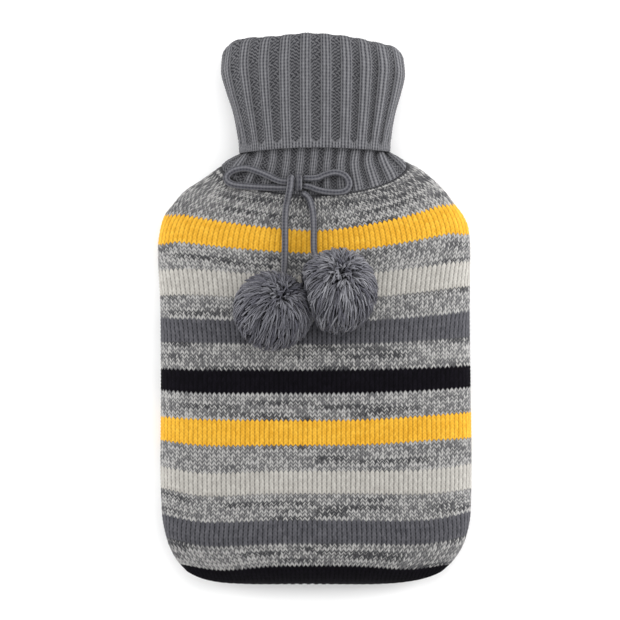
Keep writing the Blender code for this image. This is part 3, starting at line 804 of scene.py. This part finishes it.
def ribbedCollar():
    wales = collar["ribs"] * rib["wales"]
    columns = np.arange(wales * stitch["columns"])
    waleOf = columns / stitch["columns"]
    rings, walls, ribs = collarStations((waleOf + collar["shift"]) / wales)
    s = np.concatenate([[0], np.cumsum(np.linalg.norm(np.diff(rings, axis=0), axis=2).mean(axis=1))])
    perCourse, courseLength = 2, collar["course"] * mm
    last = int(s[-1] / courseLength)
    wanted = np.linspace(0, s[-1], last * perCourse + 1)
    base = alongStations(rings, s, wanted)
    wall, strength = np.interp(wanted, s, walls), np.interp(wanted, s, ribs)[:, None]
    normals = gridNormals(base)
    if np.sum(normals[0] * (base[0] - base[0].mean(axis=0))) < 0:
        normals = -normals  # towards the face, which is outside on the yoke

    ribPlace = (waleOf + rib["start"]) % rib["wales"]
    fromRib = ribPlace - rib["half"]
    ribShape = np.tanh(rib["steep"] * np.cos(2 * math.pi * fromRib / rib["wales"])) / math.tanh(rib["steep"])
    knitOutside = ribPlace < 2 * rib["half"]
    grooveEnd = rib["grooveEnd"] + rib["grooveRise"] * (fromRib / rib["half"]) ** 2

    def hemShare(courses, column):
        return np.clip(0.5 + (grooveEnd[column] - (last - courses)) / rib["endsOver"], 0, 1)

    byHem = hemShare(wanted[:, None] / s[-1] * last, columns)
    stand = ribShape * strength * (1 - byHem) - rib["sink"] * byHem
    base = base + normals * (stand * collar["ribHeight"] * mm)[..., None]

    # the face of the cloth is its outside on the neck, and lies inside on the turned-down collar
    def side(courses, face, fine):
        use = columns if fine else columns[::stitch["columns"]]
        knit = (knitOutside if face else ~knitOutside)[use]
        grid = np.repeat(courses[:, None], len(use), axis=1)
        depth = np.zeros(grid.shape)
        if fine:
            phase = np.round(courses * stitch["rows"]).astype(int)
            depth = np.where(knit, knitRelief(use, phase), purlRelief(use, phase))
            if not face:
                nearHem = hemShare(grid, use)
                depth = depth * (1 - nearHem) + knitRelief(use, phase) * nearHem
            slant = np.where(knit, 1.0, -0.5) * slantOf(use)
            grid = grid + slant * np.clip(np.minimum(grid, last - grid), 0, 1)
        place = np.clip(grid * perCourse, 0, len(base) - 1.001)
        thick = wall[place.astype(int)] / 2 + (depth - stitch["level"]) * collar["relief"] * mm
        sign = 1.0 if face else -1.0
        return sampleRows(base, place, use) + sampleRows(normals, place, use) * (sign * thick)[..., None]

    fineStep = 1 / stitch["rows"]
    foldCourse = s[np.argmax(rings[:, 0, 1])] / courseLength
    fineEnd = math.floor(foldCourse) - collar["mouthFine"]
    faceStep, backStep = collar["plainSteps"]
    runs = [
        (np.arange(0, collar["yokeFine"] + fineStep / 2, fineStep), True, True),
        (np.arange(collar["yokeFine"] + 1.0, last - 0.5, faceStep), True, False),
        (np.arange(last, fineEnd - fineStep / 2, -fineStep), False, True),
        (np.arange(fineEnd - 1.0, -0.1, -backStep), False, False),
    ]
    rows = []
    for (courses, face, fine), (low, high) in zip(runs, collar["bake"]):
        counted = courses + rib["faceCourse"] if face else last - courses
        bakes = np.linspace(low, high, len(courses) + 1)
        waleShift = rib["start"] - (0 if face else rib["wales"] // 2)
        rows += gridRows(side(courses, face, fine), counted, bakes, wales, waleShift=waleShift)
    piece = loftRows("ribbed_collar", rows, True, ["ribYarn"], flipped=True)
    settle(piece, "rib_collar")
    print("ribbed collar:", len(piece.data.polygons), "faces,", last, "courses")
    return piece


collarPiece = ribbedCollar()


cord = {
    "loop": (4.4, 5),  # diameter, and wales round the cord
    "tail": (4.3, 4),
    "knot": (4.9, 5),
    "course": 2.1,
    "relief": 0.34,
    "ends": (0.45, 1.1),  # how thin the ends are drawn, and how fast they thicken over a course
}

# across, along and height of the cord's middle above the cloth
routes = {
    "bow_loop_left": [
        (-13.1, 81, 5.6), (-18.5, 81.1, 5.6), (-23, 81.9, 5), (-27.5, 83.9, 4.2), (-32.5, 86.3, 3.8),
        (-37.6, 88.2, 3.8), (-42.7, 89.7, 3.9), (-47.8, 89.5, 4), (-52.7, 87.9, 3.9), (-55.9, 84.9, 3.6),
        (-55.7, 81.7, 3.3), (-52.5, 79.6, 3.1), (-47.8, 78.7, 3), (-41.4, 78.1, 3), (-33.7, 77.6, 3),
        (-26, 77.3, 3.1), (-18.5, 77.2, 3.1), (-13.1, 77.2, 3.1),
    ],
    "bow_loop_right": [
        (-7.5, 83.3, 4.6), (-2.4, 83.1, 4.4), (2.1, 83.7, 4), (6.6, 85.6, 3.8), (13, 87, 3.8),
        (19.1, 85.1, 3.7), (21.9, 80.7, 3.5), (20.9, 76.6, 3.3), (17.1, 74.6, 3.2), (9.5, 74.5, 3.2),
        (2.1, 75.8, 3.2), (-3.1, 77.7, 3.4), (-7.5, 78.5, 3.6),
    ],
    "tail_left": [
        (-14.1, 84.5, 8.6), (-15.2, 83.1, 10.1), (-15.4, 80.3, 10.6), (-15.7, 77.1, 10.3), (-16.5, 73.1, 8.2),
        (-17.5, 68.7, 4.8), (-18.4, 64.3, 2.9), (-18.8, 58.2, 2.6), (-18.9, 49.7, 2.6), (-18.9, 40.7, 2.6),
        (-19, 31.7, 2.8), (-19.3, 25.7, 4.3),
    ],
    "tail_right": [
        (-8.3, 74.2, 4.8), (-6.2, 72.9, 3.9), (-4.2, 71, 3.1), (-2.7, 68.2, 2.7), (-1.6, 64.3, 2.6),
        (-0.9, 59.3, 2.6), (-0.6, 52.7, 2.6), (-0.6, 45.7, 2.6), (-0.6, 40.2, 3.1), (-0.1, 35.2, 4.6),
    ],
}


# points at even steps on a smooth curve through placed points
def evenPath(placed, step):
    padded = np.vstack([2 * placed[0] - placed[1], placed, 2 * placed[-1] - placed[-2]])
    t = (np.arange(12) / 12)[:, None]
    fine = [curveBetween(t, start, end, (end - before) / 2, (after - start) / 2)
            for before, start, end, after in zip(padded, padded[1:], padded[2:], padded[3:])]
    fine = np.vstack(fine + [placed[-1:]])
    walked = walkedAlong(fine)
    even = np.linspace(0, walked[-1], round(walked[-1] / step) + 1)
    return pointsAt(fine, walked, even), walked[-1]


def onCloth(route):
    x, y, lift = (np.array(route) * mm).T
    return np.column_stack([x, y, frontLevel(x, y) + lift])


# two directions square to a path, turned as little as possible along it
def pathFrames(path):
    tangent = unit(np.gradient(path, axis=0))
    side = np.cross(tangent[0], (0.0, 0.0, 1.0))
    sides = []
    for direction in tangent:
        side = unit(side - direction * np.dot(side, direction))
        sides.append(side)
    return np.array(sides), np.cross(tangent, sides)


# a knitted cord along a path, with its stitches worked out all round
def knittedCord(name, placed, kind):
    perCourse = 4
    diameter, wales = cord[kind]
    path, length = evenPath(placed, cord["course"] * mm / perCourse)
    last = (len(path) - 1) / perCourse
    columns = np.arange(wales * stitch["columns"])
    rowCount = int(last * stitch["rows"])
    courses = np.linspace(0, last, rowCount + 1)
    fade = np.clip(np.minimum(courses, last - courses), 0, 1)[:, None]
    place = (courses[:, None] + slantOf(columns) * fade) * perCourse
    centre, side, up = (sampleRows(values[:, None], place, 0) for values in (path, *pathFrames(path)))
    depth = knitRelief(columns, np.arange(rowCount + 1))
    radius = diameter * mm / 2 - cord["relief"] * mm * (1 - depth)
    thin, thicken = cord["ends"]
    radius *= np.where(fade < 0.5, thin + thicken * fade, 1.0)
    angle = (2 * math.pi * columns / len(columns))[:, None]
    points = centre + (side * np.cos(angle) + up * np.sin(angle)) * radius[..., None]
    rows = gridRows(points, courses, np.linspace(0, 1, rowCount + 2), wales)
    return loftRows(name, rows, False, ["cordYarn"], capped=True), path[::2], length


# a run of the cord that hangs free, from where it starts to its far end
def freeCord(node, placed, kind, farEnd, **more):
    piece, path, length = knittedCord("cord_" + node, placed, kind)
    settle(piece, node)
    print("cord:", node, round(length, 4))


for node in ("bow_loop_left", "bow_loop_right"):
    freeCord(node, onCloth(routes[node]), "loop", "object")


# the wrap that the loops and tails come out of, an arch over the cloth
knot = {"across": -10.3, "along": 80.3, "reach": 3.5, "height": 9.0, "sink": 1.2, "power": 0.8, "steps": 12}


def wrappedKnot():
    turn = np.linspace(0, math.pi, knot["steps"] + 1)
    across, along = np.full(len(turn), knot["across"]), knot["along"] + knot["reach"] * np.cos(turn)
    rise = knot["height"] - cord["knot"][0] / 2 - knot["sink"]
    lift = knot["sink"] + rise * np.sin(turn) ** knot["power"]
    base = frontLevel(knot["across"] * mm, knot["along"] * mm)
    placed = np.column_stack([across * mm, along * mm, base + lift * mm])
    settle(knittedCord("cord_knot", placed, "knot")[0], "bow_knot")


wrappedKnot()


pompoms = {
    "core": 12.15,  # how near the cord's end comes to the middle
    "entered": 0.8,  # share of the reach at which the cord turns towards it
    "squash": 0.86,
    "strands": 1750,
    "locks": 330,  # strands cling together in locks
    "cling": 0.6,
    "lockTone": 0.6,  # the share of a strand's tone that its lock has too
    "scatter": 0.05,  # how far tips stray from an even spread
    "hole": 0.30,  # half the angle that is kept free for the cord
    "sway": 0.08,
    # each is the least value, and how much more some strands have: the bend against a pompom's own bend,
    # the tips' distance against its reach, the thickness, the height over the cloth, and the share of the
    # way past the border that a strand gives up
    "over": (0.7, 0.5),
    "out": (0.89, 0.13),
    "thick": (0.85, 0.3),
    "above": (0.7, 1.5),
    "yield": (0.82, 0.14),
    "rootAngle": 0.10,  # the least angle of a root from the pole, against its tip's
    "rise": (0.50, 1.7, 0.9),  # where roots start, then how fast strands rise and how fast they turn
    "taper": ([0, 0.5, 0.92, 1.0], [0.75, 1.0, 1.0, 0.72]),
    "steps": 6,
    "border": 4.0,  # how far the left one pushes into the right one
    "ragged": (-0.4, 1.1),  # where the strands end at that border, and how far they stray from it
    # tone is how light the yarn looks, lower on the left one as painted shade, wide the width against the
    # height, heart the size of the dense middle against the whole, lobe how far it bulges to one side
    "left": {
        "across": -25.6, "along": 0.0, "lift": 15.6, "reach": 25.6, "entry": (6.4, 21.8, -8.0),
        "pole": (0.32, 0.40, 0.86), "bend": 1.05, "fall": 0.16, "seed": 3, "tone": 0.72, "wide": 1.0,
        "heart": 0.66, "lobe": (-0.03, -0.04, 0.0)},
    "right": {
        "across": 14.3, "along": 11.6, "lift": 15.8, "reach": 27.3, "entry": (-14.0, 22.0, -7.0),
        "pole": (0.16, 0.50, 0.85), "bend": 1.15, "fall": 0.12, "seed": 8, "tone": 1.0, "wide": 0.94,
        "heart": 0.72, "lobe": (0.0, 0.0, 0.0)},
    # root is how much of the colour is left at the strands' roots, under painted shade deep in the pompom
    "yarn": {"light": (0.25, 0.25, 0.27, 1), "deep": (0.056, 0.055, 0.071, 1), "root": 0.08},
    "surface": {"Roughness": 0.95, "Specular IOR Level": 0.15},
    "bump": {"Strength": 0.4, "Distance": 0.0001},
}


# its strand map has the strand's tone across and the way from root to tip along
def pompomMaterial():
    spec = pompoms["yarn"]
    shader, tone, along = startMaterial("pompomYarn", "strands")
    plies = mathNode("SINE", times(along, 70.0))
    # painted shade: the strands darken towards their roots, deep in the pompom
    shade = scaled(smoothStep(along, 0.18, 0.86), 1.0 - spec["root"], spec["root"])
    endMaterial(shader, mixColour(tone, spec["deep"], spec["light"]), scaled(plies, 0.06, shade), plies,
                pompoms["bump"], pompoms["surface"])


def pompomCentre(spec):
    return onCloth([(spec["across"], spec["along"], spec["lift"])])[0]


# directions spread evenly over a ball, each a little astray
def scattered(count, random):
    k = np.arange(count) + 0.5
    up = 1 - 2 * k / count
    turn = math.pi * (3 - math.sqrt(5)) * k
    flat = np.sqrt(1 - up**2)
    ways = np.column_stack([flat * np.cos(turn), flat * np.sin(turn), up])
    return unit(ways + random.normal(0, pompoms["scatter"], ways.shape))


# cut yarn that springs from the core, bends over away from the pole and lies on the ones below it
def pompom(side):
    spec = pompoms[side]
    other = pompoms["right" if side == "left" else "left"]
    random = np.random.default_rng(spec["seed"])
    steps = pompoms["steps"]
    centre, reach = pompomCentre(spec), spec["reach"] * mm
    pole, entry = unit(np.array(spec["pole"])), unit(np.array(spec["entry"]))

    # tips are spread evenly over the ball, then drawn together into locks
    tips = scattered(pompoms["strands"], random)
    tips = tips[random.permutation(len(tips))]
    locks = scattered(pompoms["locks"], random)
    lockOf = np.argmax(tips @ locks.T, axis=1)
    tips = unit(tips * (1 - pompoms["cling"]) + locks[lockOf] * pompoms["cling"])
    ownTone, lockTone = random.random(len(tips)), random.random(len(locks))[lockOf]
    # the left pompom's lower tone is painted shade
    tone = spec["tone"] * ((1 - pompoms["lockTone"]) * ownTone + pompoms["lockTone"] * lockTone)
    keep = np.arccos(np.clip(tips @ entry, -1, 1)) > pompoms["hole"]
    tips, tone = tips[keep], tone[keep]
    count = len(tips)

    def uneven(name, *more):
        least, extra = pompoms[name]
        return least + extra * random.random((count, *more))

    fromPole = np.arccos(np.clip(tips @ pole, -1, 1))
    around = unit(tips - pole * (tips @ pole)[:, None] + 1e-6)
    root = np.maximum(fromPole - spec["bend"] * uneven("over"), pompoms["rootAngle"] * fromPole)
    sway = random.normal(0, pompoms["sway"], count)
    sideways = np.cross(pole, around)
    out = uneven("out")
    start, risePower, turnPower = pompoms["rise"]
    paths = np.empty((count, steps, 3))
    for j in range(steps):
        t = j / (steps - 1)
        polar = root + (fromPole - root) * t**turnPower
        radius = reach * (start + (1 - start) * (1 - (1 - t) ** risePower)) * out
        way = pole * np.cos(polar)[:, None] + around * np.sin(polar)[:, None]
        bow = math.sin(math.pi * t) * np.sin(fromPole - root)[:, None]
        way = way + np.array([0.0, spec["fall"], 0.0]) * bow
        way = unit(way + sideways * (sway * math.sin(1.5 * math.pi * t))[:, None])
        radius = radius * (1 + way @ np.array(spec["lobe"]))
        paths[:, j] = way * radius[:, None] * np.array([spec["wide"], 1.0, pompoms["squash"]])

    # pressed flat against the other pompom, and against the cloth below
    paths += centre
    toward = pompomCentre(other) - centre
    apart = np.linalg.norm(toward)
    toward /= apart
    border = (apart**2 + reach**2 - (other["reach"] * mm) ** 2) / (2 * apart)
    border += pompoms["border"] * mm * (1 if side == "left" else -1)
    border = border + random.normal(*pompoms["ragged"], (count, 1)) * mm
    past = np.clip((paths - centre) @ toward - border, 0, None)
    paths -= toward * (past * uneven("yield", 1))[..., None]
    level = frontLevel(paths[..., 0], paths[..., 1]) + uneven("above", 1) * mm
    paths[..., 2] = np.maximum(paths[..., 2], level)

    thick = mm / 2 * uneven("thick", 1)
    taper = np.interp(np.linspace(0, 1, steps), *pompoms["taper"])
    heart = evenHeart(reach * spec["heart"], random) + centre
    piece = strandMesh("pompom_" + side + "_yarn", paths, thick * taper, tone, heart)
    settle(piece, "pompom_" + side)
    print("pompom:", side, count, "strands")
    return piece


# the dense middle where the strands are bound, uneven all over; rings of points from the top down
def evenHeart(reach, random, rings=18, around=28):
    polar = np.linspace(0.04, math.pi - 0.04, rings)[:, None]
    turn = 2 * math.pi * np.arange(around)[None, :] / around
    way = np.stack([np.sin(polar) * np.cos(turn), np.sin(polar) * np.sin(turn),
                    pompoms["squash"] * np.cos(polar) + 0 * turn], axis=-1)
    return way * reach * (1 + 0.05 * random.normal(0, 1, (rings, around, 1)).clip(-1, 1))


# square tubes along many short paths round a dense middle, as one mesh
def strandMesh(name, paths, radius, tone, heart):
    count, steps, _ = paths.shape
    corners = 4
    tangent = unit(np.gradient(paths, axis=1))
    first = unit(np.cross(tangent, paths - paths.mean(axis=(0, 1))))
    second = np.cross(tangent, first)
    angle = (2 * math.pi * (np.arange(corners) + 0.5) / corners)[:, None]
    ring = first[:, :, None] * np.cos(angle) + second[:, :, None] * np.sin(angle)
    points = paths[:, :, None] + ring * radius[:, :, None, None]
    index = np.arange(count * steps * corners).reshape(count, steps, corners)
    rolled = np.roll(index, -1, axis=2)
    sides = np.stack([index[:, :-1], rolled[:, :-1], rolled[:, 1:], index[:, 1:]], axis=-1)
    caps = np.stack([index[:, 0, ::-1], index[:, -1]], axis=1)

    # each strand has a cell of its own in the bake map, with its two ends side by side along the top
    cells = math.ceil(math.sqrt(count + 1))
    cell = np.stack([np.arange(count) % cells, np.arange(count) // cells], axis=-1)[:, None, None, None]
    j, c = np.arange(steps - 1)[:, None, None], np.arange(corners)[:, None]
    u, v = np.broadcast_arrays((c + np.array([0, 1, 1, 0])) / corners,
                               (j + np.array([0, 0, 1, 1])) / (steps - 1))
    bakeSides = (cell + np.stack([0.05 + 0.9 * u, 0.05 + 0.85 * v], axis=-1)) / cells
    capU = np.array([0.1, 0.3, 0.3, 0.1]) + np.array([[0.0], [0.5]])
    capV = np.array([[0.92, 0.92, 0.98, 0.98]] * 2)
    bakeCaps = (cell[:, 0] + np.stack([capU, capV], axis=-1)) / cells
    toneSides = np.stack(np.broadcast_arrays(tone[:, None, None, None], v), axis=-1)
    toneCaps = np.stack(np.broadcast_arrays(tone[:, None, None], [[0.0] * 4, [1.0] * 4]), axis=-1)

    rings, sectors, _ = heart.shape
    grid = index.size + np.arange(rings * sectors).reshape(rings, sectors)
    beside = np.roll(grid, -1, axis=1)
    middle = np.stack([grid[:-1], grid[1:], beside[1:], beside[:-1]], axis=-1)
    quads = np.concatenate([faces.reshape(-1, 4) for faces in (sides, caps, middle)])
    loops = np.concatenate([quads.reshape(-1), grid[0], grid[-1, ::-1]])
    sizes = np.concatenate([np.full(len(quads), 4), [sectors, sectors]])
    spot = np.arange(len(loops) - sides.size - caps.size)
    spare = np.column_stack([spot % 101, spot // 101 % 101]) / 101  # in the last cell, which no strand uses
    # the dense middle takes the darkest tone and the roots' shade from the strand map: painted shade in the
    # pompom's middle
    maps = {
        "OFBake": (bakeSides, bakeCaps, (cells - 0.9 + 0.8 * spare) / cells),
        "strands": (toneSides, toneCaps, 0.0 * spare),
    }
    maps = {layer: np.concatenate([part.reshape(-1, 2) for part in parts]) for layer, parts in maps.items()}
    points = np.concatenate([points.reshape(-1, 3), heart.reshape(-1, 3)])
    return meshPiece(name, points, loops, sizes, maps, ["pompomYarn"])


pompomMaterial()
pompomPieces = {side: pompom(side) for side in ("left", "right")}


# the tails of the cord run into the pompoms' cores
for side in ("left", "right"):
    spec, node = pompoms[side], "tail_" + side
    way, centre = unit(np.array(spec["entry"])), pompomCentre(spec)
    runIn = [centre + way * spec["reach"] * pompoms["entered"] * mm, centre + way * pompoms["core"] * mm]
    freeCord(node, np.vstack([onCloth(routes[node]), runIn]), "tail", "fitting",
             with_pieces=[pompomPieces[side]])
